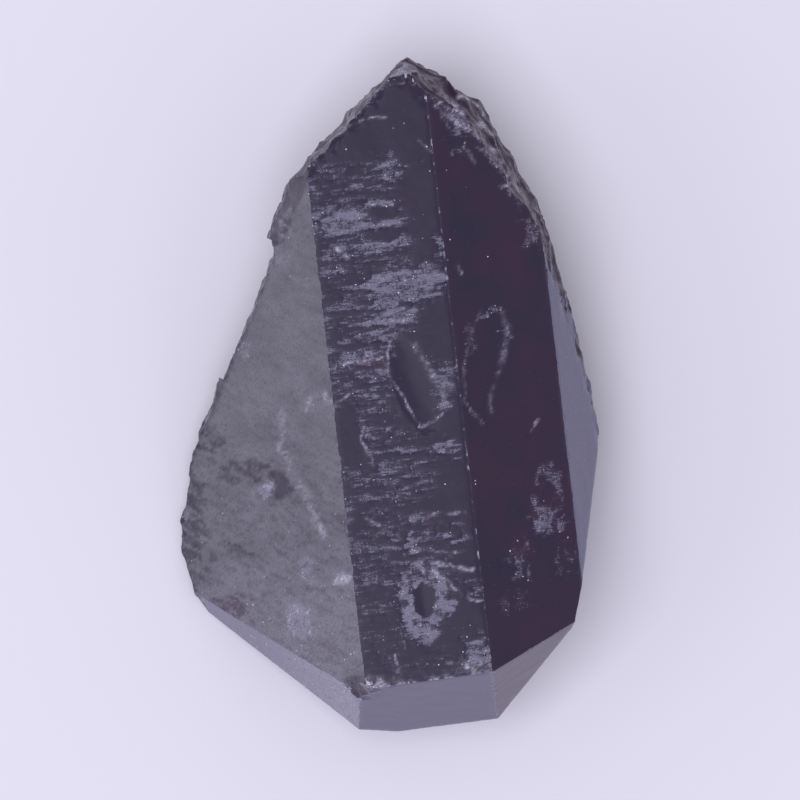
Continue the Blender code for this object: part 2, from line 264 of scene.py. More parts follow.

# Single bright grains big enough to see, from above. Some are grains on the stone; the others are painted
# glints, white grains put where a facet catches the light.
BRIGHT_GRAINS_AND_GLINTS = [
    (4.8, 24.3), (3.8, 24.0), (12.3, 22.8), (-0.6, 22.6), (6.6, 22.0), (2.6, 19.9), (3.7, 20.0),
    (6.6, 19.8), (8.1, 19.7), (-4.4, 19.0), (2.4, 17.1), (5.6, 16.0), (-4.3, 15.4), (5.3, 13.9),
    (7.7, 13.5), (10.9, 11.6), (7.3, 11.7), (-0.4, 11.4), (-0.3, 10.9), (2.6, 9.3), (3.9, 6.5),
    (3.6, 5.7), (-2.5, 4.5), (-3.0, 3.4), (-2.5, 0.8), (0.0, -0.9), (0.1, -2.0), (0.5, -3.5),
    (1.7, -3.3), (1.0, -4.4), (-2.5, -5.6), (0.0, -7.2), (-1.5, -7.1), (4.8, -8.2), (7.5, -8.2),
    (7.5, -8.5), (-4.4, -11.4), (13.4, -10.7), (10.7, -14.0), (9.9, -14.8), (15.2, -14.2),
    (10.8, -17.2), (11.2, -17.6), (5.6, -21.0), (5.2, -22.0), (4.7, -23.3), (-1.4, -23.1),
    (1.4, -24.0), (2.4, -24.2), (4.5, -24.4), (-5.3, -22.4), (-5.0, -22.3), (-4.4, -22.7),
    (-11.9, -0.7), (-12.3, 5.9), (-6.9, 11.9), (-5.4, 11.5), (-15.4, -8.6), (-14.1, -12.9),
    (-12.3, -14.7), (-13.6, -17.1), (-6.1, 0.2), (-2.9, -24.9), (-3.2, -26.0), (-3.9, -25.3),
]

# Finishes, in the order of the mesh's material slots: the settings with the coolest and
# warmest body colour, roughness, dust specks, fine grain, its depth in metres, and shine.
# The right breaks shine less than quartz, so that they look as dark as the photo's.
DARK = ("blue_black", "plum_black")
COOL = ("lavender", "mauve")
FINISHES = {
    "glassy_faces": (DARK, 0.16, 0.2, 0.5, 0.00001, 0.5),
    "satin_flank": (DARK, 0.3, 0.5, 0.8, 0.00002, 0.5),
    # The blue of the lavender finish is partly a painted reflection of the lavender floor.
    "lavender_faces": (COOL, 0.22, 0.1, 0.4, 0.00001, 0.5),
    "shell_breaks": (DARK, 0.24, 0.1, 0.4, 0.00001, 0.3),
    "mauve_face": (COOL, 0.22, 0.1, 0.4, 0.00001, 0.36),
    "dark_breaks": (DARK, 0.2, 0.1, 0.4, 0.00001, 0.06),
}
QUARTZ_IOR = 1.54
SHARP_ANGLE = 28.0

# What the crystal's mesh carries for its materials to read.
MARKS = ("frost", "bright", "dust", "tint")

# Share of the part's pit depth that shows in the photo's light.
PIT_SHARE = 0.25
LINE_SPACING = 0.42
FAR = 9.0

# Fewer faces than this mean that a cut failed.
FEWEST_FACES = 10000
GRAIN_DROP_HEIGHT = 0.1

# The studio, in metres from the crystal's middle, and the picture's centre in millimetres.
FLOOR_HALF = 4.0
LIGHT_SIZE = 0.6
TOP_LIGHT_PLACE = (-0.14, -0.1, 1.5)
KEY_LIGHT_PLACE = (-0.8, -0.2, 0.6)
PICTURE_CENTRE = (1.845, -0.397)


# Random fields


def lattice(column, row, seed):
    """A value from 0 to 1 for each whole column and row."""
    mixed = column.astype(np.int64) * 374761393 + row.astype(np.int64) * 668265263 + seed * 974634777
    mixed = ((mixed & 0xFFFFFFFF) ^ ((mixed & 0xFFFFFFFF) >> 13)) * 1274126177 & 0xFFFFFFFF
    return ((mixed ^ (mixed >> 16)) & 0xFFFFFF) / 0xFFFFFF


def wander(x, y, seed):
    """A smooth field from 0 to 1 that changes over about one unit."""
    column, row = np.floor(x), np.floor(y)
    part_x, part_y = x - column, y - row
    part_x = part_x * part_x * (3.0 - 2.0 * part_x)
    part_y = part_y * part_y * (3.0 - 2.0 * part_y)
    low = lattice(column, row, seed) * (1.0 - part_x) + lattice(column + 1, row, seed) * part_x
    high = lattice(column, row + 1, seed) * (1.0 - part_x) + lattice(column + 1, row + 1, seed) * part_x
    return low * (1.0 - part_y) + high * part_y


def rough(x, y, seed):
    """A field from 0 to 1 with detail at three sizes."""
    middle = wander(x * 2.1, y * 2.1, seed + 1)
    fine = wander(x * 4.3, y * 4.3, seed + 2)
    return (wander(x, y, seed) * 4.0 + middle * 2.0 + fine) / 7.0


def steps(x, y, seed):
    """Flat rectangular steps from 0 to 1, one unit wide and high, laid like bricks."""
    row = np.floor(y + 0.3 * wander(x * 0.5, y * 0.5, seed + 5))
    column = np.floor(x + 3.7 * lattice(row, row * 0, seed + 7))
    return lattice(column, row, seed)


def scars(x, y, seed):
    """Distance to the nearest and second nearest of scattered points, one per unit square."""
    column, row = np.floor(x), np.floor(y)
    nearest = np.full(np.shape(x), FAR)
    second = np.full(np.shape(x), FAR)
    for across in (-1, 0, 1):
        for along in (-1, 0, 1):
            point_x = column + across + lattice(column + across, row + along, seed)
            point_y = row + along + lattice(column + across, row + along, seed + 11)
            gap = np.hypot(point_x - x, point_y - y)
            second = np.minimum(second, np.maximum(nearest, gap))
            nearest = np.minimum(nearest, gap)
    return nearest, second


def ease(low, high, value):
    """0 below low, 1 above high, smooth between them."""
    part = np.clip((value - low) / (high - low), 0.0, 1.0)
    return part * part * (3.0 - 2.0 * part)


def fade(gap, width):
    """1 at an edge, falling off over this width."""
    return np.exp(-np.clip(gap, 0.0, FAR) / width)


def patches(x, y, table, ragged=1.1):
    """The strongest of a table of soft patches with ragged outlines."""
    swing_x = (rough(x / 1.1, y / 0.6, 21) - 0.5) * 2.4 + (steps(x / 0.5, y / 0.33, 23) - 0.5) * 0.5
    swing_y = (rough(x / 1.1, y / 0.6, 27) - 0.5) * 1.4 + (steps(x / 0.6, y / 0.33, 29) - 0.5) * 0.3
    bend_x, bend_y = x + ragged * swing_x, y + ragged * swing_y
    total = np.zeros(np.shape(x))
    for middle_x, middle_y, width, height, amount in table:
        reach = (np.abs(bend_x - middle_x) / (width / 2)) ** 2.6
        reach = reach + (np.abs(bend_y - middle_y) / (height / 2)) ** 2.6
        total = np.maximum(total, amount * (1.0 - ease(0.35, 1.9, reach)))
    return total


def strokes(x, y, table, waver=0.12):
    """The strongest of a table of lines, each through a few points."""
    x = x + waver * (wander(x / 0.5, y / 0.5, 31) - 0.5) * 2.0
    y = y + waver * (wander(x / 0.5, y / 0.5, 33) - 0.5) * 2.0
    total = np.zeros(np.shape(x))
    for points, width, strength in table:
        gap = np.full(np.shape(x), FAR)
        for (x0, y0), (x1, y1) in zip(points, points[1:]):
            run_x, run_y = x1 - x0, y1 - y0
            part = np.clip(((x - x0) * run_x + (y - y0) * run_y) / (run_x**2 + run_y**2), 0.0, 1.0)
            gap = np.minimum(gap, np.hypot(x - x0 - part * run_x, y - y0 - part * run_y))
        broken = 0.12 + 1.25 * ease(0.3, 0.75, rough(x / 0.5, y / 0.4, 37))
        total = np.maximum(total, strength * broken * np.exp(-((gap / (0.7 * width)) ** 2)))
    return total


# Planes and frames


def direction(lean, bearing):
    """Outward unit normal of a face with this lean and bearing."""
    lean = math.radians(lean)
    bearing = math.radians(bearing)
    flat = math.sin(lean)
    return Vector((flat * math.cos(bearing), flat * math.sin(bearing), math.cos(lean)))


def facing(through, lean, bearing):
    """The frame of a face: Z is its outward normal, and Y stays close to the prism's Y."""
    out = direction(lean, bearing)
    along = Vector((0.0, 1.0, 0.0)) if abs(out.y) < 0.7 else Vector((0.0, 0.0, 1.0))
    across = along.cross(out).normalized()
    along = out.cross(across)
    turn = Matrix((across, along, out)).transposed().to_4x4()
    return Matrix.Translation(through) @ turn


PLANES = {**CRYSTAL_FACES, **{name: values[:3] for name, values in BREAKS.items()}}


class Spots:
    """Points on one side of the crystal, in that side's frame and in the crystal's."""

    def __init__(self, name, u, v):
        self.name = name
        self.u = u
        self.v = v
        place = np.array(facing(*PLANES[name]))
        self.x = place[0, 0] * u + place[0, 1] * v + place[0, 3]
        self.y = place[1, 0] * u + place[1, 1] * v + place[1, 3]
        self.z = place[2, 0] * u + place[2, 1] * v + place[2, 3]

    def gap_to(self, names):
        """Distance over this side to the nearest edge it shares with any of these sides."""
        own = direction(*PLANES[self.name][1:])
        nearest = np.full(np.shape(self.u), 99.0)
        for name in names:
            through, lean, bearing = PLANES[name]
            out = direction(lean, bearing)
            slant = math.sqrt(max(1.0 - own.dot(out) ** 2, 0.0))
            if name == self.name or slant < 0.05:
                continue
            here = zip(out, through, (self.x, self.y, self.z))
            gap = sum(part * (there - at) for part, there, at in here)
            nearest = np.minimum(nearest, gap / slant)
        return nearest


# Heights over each mean plane, in millimetres


def growth_lines(x, y, seed):
    """Fine growth lines across the prism, from 0 to 1, which come and go."""
    phase = y / LINE_SPACING + 0.7 * wander(x / 3.0, y / 2.5, seed)
    line = np.abs(2.0 * (phase - np.floor(phase)) - 1.0)
    there = ease(0.35, 0.75, wander(x / 2.2, y / 0.9, seed + 3))
    return line * line * there


def pit_reach(name, run_x, run_y):
    """Distance from a pit's middle, where 1 is its rim."""
    middle, length, width, depth, turn = PITS[name]
    turn = math.radians(turn)
    across = run_x * math.cos(turn) - run_y * math.sin(turn)
    along = run_x * math.sin(turn) + run_y * math.cos(turn)
    return np.hypot(across / (width / 2), along / (length / 2))


def pit_depth(name, x, y, slope):
    """Depth of an etch pit at each point, by the lens that the part's source cuts."""
    (middle_x, middle_y), length, width, depth, turn = PITS[name]
    reach = pit_reach(name, (x - middle_x) / slope, y - middle_y)
    reach = reach + 0.1 * (wander(x / 0.9, y / 0.9, 41) - 0.5)
    return PIT_SHARE * depth * np.clip(1.0 - reach**2, 0.0, 1.0)


def pit_ring(name, x, y, outer):
    """Frost in a ragged ring around an etch pit, as wide as outer times the pit."""
    middle_x, middle_y = PITS[name][0]
    run_x = x + 0.8 * (rough(x / 0.9, y / 0.7, 43) - 0.5) - middle_x
    run_y = y + 0.8 * (rough(x / 0.9, y / 0.7, 45) - 0.5) - middle_y
    reach = pit_reach(name, run_x, run_y)
    inside = ease(0.6, 0.85, reach) * (1.0 - ease(outer * 0.75, outer, reach))
    return inside * ease(0.2, 0.6, rough(x / 0.8, y / 0.8, 47))


def chipped(spots, settings):
    """Small chips along the edges with the breaks and with other faces."""
    near_break = spots.gap_to(BREAKS)
    near_edge = spots.gap_to(CRYSTAL_FACES)
    chip = rough(spots.u / 0.9, spots.v / 0.9, 51)
    depth = settings.chip_depth / MM
    deep = depth * ease(0.42, 0.7, chip) * fade(near_break, 0.4)
    fine = 0.25 * depth * ease(0.5, 0.8, rough(spots.u / 0.5, spots.v / 0.5, 57)) * fade(near_edge, 0.15)
    round_over = 0.035 * fade(near_edge, 0.1)
    return deep + fine + round_over


def left_top_heights(spots, settings):
    x, y = spots.x, spots.y
    slope = math.cos(math.radians(LEFT_TOP_LEAN))
    frost = left_top_frost(spots)
    cut = 0.5 * settings.line_depth / MM * growth_lines(x, y, 61) * (0.4 + frost)
    terraces = np.floor(5.0 * steps(x / 1.1, y / 0.55, 63))
    cut += settings.terrace_depth / MM * terraces / 5.0 * ease(0.15, 0.6, frost)
    cut += 0.014 * frost * rough(x / 0.3, y / 0.22, 65)
    cut += 0.02 * rough(x / 2.5, y / 1.6, 67)
    cut += pit_depth("long_oval", x, y, slope)
    cut += pit_depth("ring_pit", x, y, slope)
    cut += chipped(spots, settings)
    return 0.006 * strokes(x, y, LEFT_TOP_LINES) - cut


def right_top_heights(spots, settings):
    x, y = spots.x, spots.y
    slope = math.cos(math.radians(RIGHT_TOP_LEAN))
    frost = right_top_frost(spots)
    cut = 0.5 * settings.line_depth / MM * growth_lines(x, y, 71) * (0.3 + frost)
    cut += 0.05 * frost * rough(x / 0.4, y / 0.4, 73)
    cut += 0.03 * rough(x / 2.8, y / 2.2, 75)
    cut += pit_depth("right_oval", x, y, slope)
    cut += pit_depth("small_ring", x, y, slope)
    cut += chipped(spots, settings)
    return 0.005 * strokes(x, y, RIGHT_TOP_LINES) - cut


def left_flank_heights(spots, settings):
    x, y = spots.x, spots.y
    slope = math.cos(math.radians(LEFT_FLANK_LEAN))
    dark = patches(x, y, LEFT_FLANK_DARK)
    cut = 0.5 * settings.line_depth / MM * growth_lines(spots.u, y, 81)
    cut += 0.12 * dark * rough(spots.u / 0.8, y / 0.6, 83)
    cut += 0.03 * rough(spots.u / 0.5, y / 0.5, 85) + 0.04 * rough(spots.u / 3.0, y / 3.0, 87)
    cut += 3.2 * pit_depth("flank_pit", x, y, slope)
    cut += chipped(spots, settings)
    return 0.03 * strokes(x, y, LEFT_FLANK_LINES) - cut


def plain_heights(spots, settings):
    cut = 0.12 * settings.line_depth / MM * growth_lines(spots.u, spots.v, 91)
    cut += 0.03 * rough(spots.u / 2.4, spots.v / 1.8, 93)
    return -cut - chipped(spots, settings)


def break_heights(spots, settings):
    """The same broad scars as the part's source, with finer flakes and ripples on them."""
    through, lean, bearing, scar, depth, grain, seed = BREAKS[spots.name]
    heights = np.empty(spots.u.size)
    for count, (u, v) in enumerate(zip(spots.u.ravel(), spots.v.ravel())):
        broad = noise.voronoi(Vector((u, v, 0.0)) / scar + Vector((0.0, 0.0, seed)))[0][0]
        small = noise.voronoi(Vector((u, v, 0.0)) / (scar / 2.7) + Vector((3.1, 1.7, seed)))[0][0]
        worn = noise.fractal(Vector((u, v, seed * 7.0)) / 1.9, 1.0, 2.1, 3)
        heights[count] = depth * (broad * broad - 0.25 + 0.3 * (small * small - 0.25)) + grain * worn
    nearest, second = scars(spots.u / 0.95, spots.v / 0.95, 101)
    flake = 0.16 * nearest * nearest - 0.1 * np.exp(-(second - nearest) / 0.08)
    ripple = 0.02 * np.sin(nearest * 26.0)
    fine = 0.07 * (rough(spots.u / 0.6, spots.v / 0.6, 103) - 0.5)
    return heights.reshape(spots.u.shape) + settings.flake_depth / MM * 8.0 * (flake + ripple + fine)


# Marks painted on each side, from 0 to 1, where a mark that a side leaves out is 0


def left_top_frost(spots):
    x, y = spots.x, spots.y
    block = steps(x / 0.75, y / 0.36, 111)
    streak = rough(x / 1.5, y / 0.24, 110)
    amount = patches(x, y, LEFT_TOP_FROST)
    spread = 0.5 * (1.0 - ease(2.0, 6.5, x)) * (1.0 - ease(19.5, 23.5, y))
    spread *= 0.55 + 0.45 * ease(-22.0, -16.0, y)
    amount = np.maximum(amount, spread)
    amount *= 1.0 - patches(x, y, LEFT_TOP_CLEAR, 0.5)
    broken = (0.2 + 1.1 * ease(0.25, 0.75, streak)) * (0.6 + 0.65 * block)
    solid = ease(0.55, 0.95, amount) * 0.7
    amount *= broken * (1.0 - solid) + (0.8 + 0.35 * rough(x / 0.5, y / 0.3, 114)) * solid
    amount = np.maximum(amount, 0.95 * pit_ring("ring_pit", x, y, 2.1))
    edge = 0.6 * fade(spots.gap_to(BREAKS), 0.5) * ease(0.35, 0.7, rough(x / 0.6, y / 0.6, 113))
    return np.clip(np.maximum(amount, edge), 0.0, 1.0)


def left_top_marks(spots):
    x, y = spots.x, spots.y
    near_tip = spots.gap_to(("tip_middle", "tip_left", "chipped_corner"))
    near_ridge = spots.gap_to(("right_top",))
    bright = strokes(x, y, LEFT_TOP_LINES)
    bright = np.maximum(bright, 0.75 * fade(near_tip, 0.22) * ease(0.4, 0.7, rough(x / 0.5, y / 0.5, 115)))
    bright = np.maximum(bright, 0.09 * fade(near_ridge, 0.05) * wander(x, y / 0.8, 117))
    tint = 0.12 + 0.35 * rough(x / 1.6, y / 1.3, 119) + 0.7 * patches(x, y, LEFT_TOP_PURPLE)
    return {"frost": left_top_frost(spots), "bright": bright, "tint": tint}


def right_top_frost(spots):
    x, y = spots.x, spots.y
    amount = patches(x, y, RIGHT_TOP_FROST) * (0.35 + 1.1 * ease(0.3, 0.7, rough(x / 0.5, y / 1.3, 121)))
    amount = np.maximum(amount, 0.6 * pit_ring("small_ring", x, y, 1.9))
    edge = 0.55 * fade(spots.gap_to(BREAKS), 0.5) * ease(0.4, 0.7, rough(x / 0.7, y / 0.7, 123))
    return np.clip(np.maximum(amount, edge), 0.0, 1.0)


def right_top_marks(spots):
    x, y = spots.x, spots.y
    near_flank = spots.gap_to(("right_flank",))
    near_ridge = spots.gap_to(("left_top",))
    bright = strokes(x, y, RIGHT_TOP_LINES)
    bright = np.maximum(bright, 0.07 * fade(near_ridge, 0.05) * wander(x, y / 0.8, 125))
    bright = np.maximum(bright, 0.15 * fade(near_flank, 0.08) * wander(x, y / 1.5, 127))
    tint = 0.6 + 1.3 * (rough(x / 2.2, y / 2.8, 129) - 0.5)
    return {"frost": right_top_frost(spots), "bright": bright, "tint": tint}


def left_flank_marks(spots):
    x, y = spots.x, spots.y
    near_break = spots.gap_to(BREAKS)
    dark = patches(x, y, LEFT_FLANK_DARK)
    pale = patches(x, y, LEFT_FLANK_PALE, 0.7) * ease(0.15, 0.6, rough(x / 0.7, y / 0.5, 130))
    slant = y + 0.5 * x
    low = ease(6.0, -14.0, y)
    speckled = ease(0.5, 0.72, rough(x / 0.6, slant / 0.22, 131)) * (0.25 + 0.75 * low)
    dust = 0.86 + 0.5 * (rough(x / 2.5, slant / 1.6, 133) - 0.5)
    dust += 0.36 * (rough(x / 0.6, slant / 0.4, 134) - 0.5)
    dust -= 0.85 * dark * ease(0.3, 0.6, rough(x / 0.7, slant / 0.32, 135))
    dust -= 0.9 * patches(x, y, LEFT_FLANK_BARE, 0.3)
    dust -= 0.46 * speckled
    dust -= 0.5 * fade(near_break, 0.25)
    bright = 0.22 * pale + 0.1 * ease(-10.0, -20.0, y)
    bright = np.maximum(1.5 * strokes(x, y, LEFT_FLANK_LINES, 0.3), bright)
    tint = 0.3 + 0.4 * rough(x / 3.0, y / 3.0, 137) + 0.5 * patches(x, y, LEFT_FLANK_PURPLE)
    frost = 0.9 * pale + 0.32 * low * ease(0.35, 0.7, rough(x / 1.4, slant / 0.8, 136))
    return {"frost": frost, "bright": bright, "dust": dust, "tint": tint}


def satin_marks(amount, tint, worn=0.0):
    """Marks of a plain satin face with this much dust, and lighter towards +x by the worn amount."""

    def marks(spots):
        near_edge = spots.gap_to(CRYSTAL_FACES)
        bright = 0.3 * fade(near_edge, 0.1) * wander(spots.u / 1.2, spots.v / 1.2, 141)
        bright = np.maximum(bright, worn * (0.4 + 0.6 * ease(-15.0, -6.0, spots.x)))
        dust = amount * (0.85 + 0.3 * rough(spots.u / 2.0, spots.v / 2.0, 143))
        shade = tint + 0.3 * (rough(spots.u / 2.2, spots.v / 2.2, 145) - 0.5)
        return {"bright": bright, "dust": dust, "tint": shade}

    return marks


def break_marks(spots):
    nearest, second = scars(spots.u / 0.95, spots.v / 0.95, 101)
    ridge = np.exp(-(second - nearest) / 0.1)
    flake = rough(spots.u / 1.3, spots.v / 1.3, 151)
    near_face = spots.gap_to(("left_top", "right_top"))
    # The cap of tip_of_root and the band of root_left by the top face are lightened through frost and
    # bright marks, partly for their crumbly frost and partly as painted light shining through the thin
    # stone.
    tip = 0.6 if spots.name == "tip_of_root" else 0.0
    right = 1.0 if "right" in spots.name else 0.0
    # The right breaks get much less frost, and with the low shine of their finish they read darker: partly
    # painted shade of the side turned from the light.
    frost = tip + (0.45 - 0.33 * right) * ease(0.5, 0.75, flake) * (0.2 + 0.8 * fade(near_face, 1.0))
    if spots.name == "root_left":
        frost = frost + 0.6 * fade(near_face, 1.5) * (0.6 + 0.6 * flake)
    bright = 0.18 * ridge * ease(0.5, 0.75, rough(spots.u / 0.8, spots.v / 0.8, 153))
    bright = np.maximum(bright, 1.3 * strokes(spots.x, spots.y, BREAK_GLINT_LINES))
    bright = np.maximum(bright, 0.6 * tip * (0.4 + rough(spots.u / 0.35, spots.v / 1.8, 157)))
    tint = 0.3 + 0.7 * rough(spots.u / 2.0, spots.v / 2.0, 155) + 0.6 * right
    return {"frost": frost, "bright": bright, "tint": tint}


class Side:
    """How one side of the crystal is cut and painted."""

    def __init__(self, name, step, margin, heights, marks, finish, spare=0.3):
        self.name = name
        self.step = step
        self.margin = margin
        self.heights = heights
        self.marks = marks
        self.finish = finish
        self.spare = spare
        self.place = facing(*PLANES[name])


def crystal_sides(settings):
    """Every side in the order in which it is cut."""
    fine = settings.top_step / MM
    middle = settings.flank_step / MM
    coarse = settings.hidden_step / MM
    broken = settings.break_step / MM
    sides = [
        Side("left_top", fine, 4.0, left_top_heights, left_top_marks, "glassy_faces"),
        Side("right_top", middle, 4.0, right_top_heights, right_top_marks, "glassy_faces"),
        Side("left_flank", middle, 4.5, left_flank_heights, left_flank_marks, "satin_flank"),
        Side("right_flank", middle, 6.0, plain_heights, satin_marks(0.2, 0.1), "lavender_faces"),
        Side("tip_middle", middle, 6.0, plain_heights, satin_marks(0.15, 0.2), "lavender_faces"),
        Side("tip_right", middle, 6.0, plain_heights, satin_marks(0.0, 0.9), "mauve_face"),
        Side("tip_left", middle, 6.0, plain_heights, satin_marks(0.35, 0.0, 0.3), "lavender_faces"),
    ]
    for name in ("under_tip", "under_tip_right", "under_right", "under_tip_left", "base"):
        finish = "satin_flank" if name == "base" else "lavender_faces"
        sides.append(Side(name, coarse, 14.0, plain_heights, satin_marks(0.3, 0.3), finish))
    for name, values in BREAKS.items():
        hidden = name.startswith("base") or "under" in name
        size = coarse if hidden else broken
        scar_depth = values[4]
        spare = BITE_SPARE if name in BITE_REACH else scar_depth + 0.5
        finish = "dark_breaks" if "right" in name else "shell_breaks"
        sides.append(Side(name, size, 12.0, break_heights, break_marks, finish, spare))
    return sides


# Mesh building


def mesh_from(name, points, faces):
    """A mesh in metres from points in millimetres."""
    mesh = bpy.data.meshes.new(name)
    mesh.from_pydata((points * MM).tolist(), [], faces)
    return mesh


def place_object(name, mesh):
    """An object at the origin of the scene with this mesh."""
    item = bpy.data.objects.new(name, mesh)
    bpy.context.scene.collection.objects.link(item)
    return item


def clear_block(sides):
    """The convex block that holds every side with a little to spare."""
    block = bmesh.new()
    bmesh.ops.create_cube(block, size=BLOCK_SIZE)
    for side in sides:
        through, lean, bearing = PLANES[side.name]
        out = direction(lean, bearing)
        cut = bmesh.ops.bisect_plane(
            block,
            geom=block.verts[:] + block.edges[:] + block.faces[:],
            plane_co=Vector(through) + out * side.spare,
            plane_no=out,
            clear_outer=True,
        )
        rim = [item for item in cut["geom_cut"] if isinstance(item, bmesh.types.BMEdge)]
        if rim:
            bmesh.ops.edgeloop_fill(block, edges=rim)
    bmesh.ops.recalc_face_normals(block, faces=block.faces)
    block.transform(Matrix.Scale(MM, 4))
    mesh = bpy.data.meshes.new(NODE)
    block.to_mesh(mesh)
    block.free()
    return place_object("crystal_block", mesh)


def side_reach(side, outline):
    """The least and greatest u and v that the side spans on the part's own mesh."""
    if side.name in BITE_REACH:
        reach = BITE_REACH[side.name]
        return np.array((-reach, -reach)), np.array((reach, reach))
    local = local_points(side, outline)
    near = local[np.abs(local[:, 2]) < side.spare + 0.9]
    if len(near) == 0:
        raise RuntimeError(f"the part has no points on its side {side.name}")
    return near[:, :2].min(0) - side.margin, near[:, :2].max(0) + side.margin


def side_cutter(side, outline, settings):
    """A closed block over the side's surface, which takes away all that is outside it."""
    low, high = side_reach(side, outline)
    columns = np.arange(low[0], high[0] + side.step, side.step)
    rows = np.arange(low[1], high[1] + side.step, side.step)
    u, v = np.meshgrid(columns, rows, indexing="ij")
    heights = side.heights(Spots(side.name, u, v), settings)
    side.columns, side.rows, side.grid = columns, rows, heights
    wide, tall = heights.shape
    floor = np.stack((u, v, heights), axis=-1).reshape(-1, 3)
    index = np.arange(wide * tall).reshape(wide, tall)
    ring = np.concatenate((index[:, 0], index[-1, 1:], index[-2::-1, -1], index[0, -2:0:-1]))
    lid = floor[ring].copy()
    lid[:, 2] = side.spare + 1.5
    centre = np.array([[floor[:, 0].mean(), floor[:, 1].mean(), side.spare + 1.5]])
    points = np.concatenate((floor, lid, centre))
    turn = np.array(side.place.to_3x3())
    points = points @ turn.T + np.array(side.place.translation)
    quads = np.stack((index[:-1, :-1], index[:-1, 1:], index[1:, 1:], index[1:, :-1]), axis=-1)
    faces = quads.reshape(-1, 4).tolist()
    first_lid = wide * tall
    count = len(ring)
    for number in range(count):
        after = (number + 1) % count
        faces.append([int(ring[number]), int(ring[after]), first_lid + after, first_lid + number])
        faces.append([first_lid + number, first_lid + after, first_lid + count])
    return place_object(side.name + "_cutter", mesh_from(side.name + "_cutter", points, faces))


def take_away(item, cutter):
    """Cuts one solid from another and keeps the result in the mesh."""
    modifier = item.modifiers.new(cutter.name, "BOOLEAN")
    modifier.operation = "DIFFERENCE"
    modifier.solver = "MANIFOLD"
    modifier.object = cutter
    graph = bpy.context.evaluated_depsgraph_get()
    result = bpy.data.meshes.new_from_object(item.evaluated_get(graph))
    item.modifiers.clear()
    spent = item.data
    item.data = result
    bpy.data.meshes.remove(spent)
    spent = cutter.data
    bpy.data.objects.remove(cutter)
    bpy.data.meshes.remove(spent)


def keep_largest(mesh):
    """Removes any loose crumb that a cut left beside the body."""
    model = bmesh.new()
    model.from_mesh(mesh)
    left, groups = set(model.verts), []
    while left:
        group = [left.pop()]
        for vert in group:
            near = {edge.other_vert(vert) for edge in vert.link_edges} & left
            left -= near
            group.extend(near)
        groups.append(group)
    for crumb in sorted(groups, key=len)[:-1]:
        bmesh.ops.delete(model, geom=crumb, context="VERTS")
    model.to_mesh(mesh)
    model.free()


def sample(side, u, v):
    """The side's height at any u and v, from its grid."""
    column = np.clip((u - side.columns[0]) / side.step, 0.0, len(side.columns) - 1.001)
    row = np.clip((v - side.rows[0]) / side.step, 0.0, len(side.rows) - 1.001)
    left, below = column.astype(int), row.astype(int)
    part_u, part_v = column - left, row - below
    low = side.grid[left, below] * (1 - part_u) + side.grid[left + 1, below] * part_u
    high = side.grid[left, below + 1] * (1 - part_u) + side.grid[left + 1, below + 1] * part_u
    return low * (1 - part_v) + high * part_v


def local_points(side, points):
    """Points in the frame of a side."""
    back = side.place.inverted()
    return points @ np.array(back.to_3x3()).T + np.array(back.translation)


def sort_faces(sides, centres):
    """Which side each of the mesh's faces belongs to, by the surface it lies on."""
    best = np.full(len(centres), FAR)
    owner = np.zeros(len(centres), int)
    for number, side in enumerate(sides):
        local = local_points(side, centres)
        gap = np.abs(local[:, 2] - sample(side, local[:, 0], local[:, 1]))
        inside = (local[:, 0] > side.columns[0]) & (local[:, 0] < side.columns[-1])
        inside &= (local[:, 1] > side.rows[0]) & (local[:, 1] < side.rows[-1])
        closer = inside & (gap < best)
        best[closer] = gap[closer]
        owner[closer] = number
    return owner


def read(items, name, kind, width=1):
    """One property of many vertices, corners or faces."""
    values = np.empty(len(items) * width, kind)
    items.foreach_get(name, values)
    return values.reshape(-1, width) if width > 1 else values


def paint(mesh, sides):
    """Writes each side's marks to the corners of its faces and sets its finish."""
    points = read(mesh.vertices, "co", float, 3) / MM
    corners = read(mesh.loops, "vertex_index", int)
    owner = sort_faces(sides, read(mesh.polygons, "center", float, 3) / MM)
    corner_owner = np.repeat(owner, read(mesh.polygons, "loop_total", int))
    values = {mark: np.zeros(len(corners)) for mark in MARKS}
    for number, side in enumerate(sides):
        own = np.nonzero(corner_owner == number)[0]
        if len(own) == 0:
            continue
        used, back = np.unique(corners[own], return_inverse=True)
        local = local_points(side, points[used])
        marks = side.marks(Spots(side.name, local[:, 0], local[:, 1]))
        for mark, amount in marks.items():
            values[mark][own] = np.clip(amount, 0.0, 1.0)[back]
    for mark, amounts in values.items():
        layer = mesh.attributes.new(mark, "FLOAT", "CORNER")
        layer.data.foreach_set("value", amounts.astype(np.float32))
    slots = list(FINISHES)
    finishes = np.array([slots.index(side.finish) for side in sides])[owner]
    mesh.polygons.foreach_set("material_index", finishes.astype(np.int32))


# Node graphs


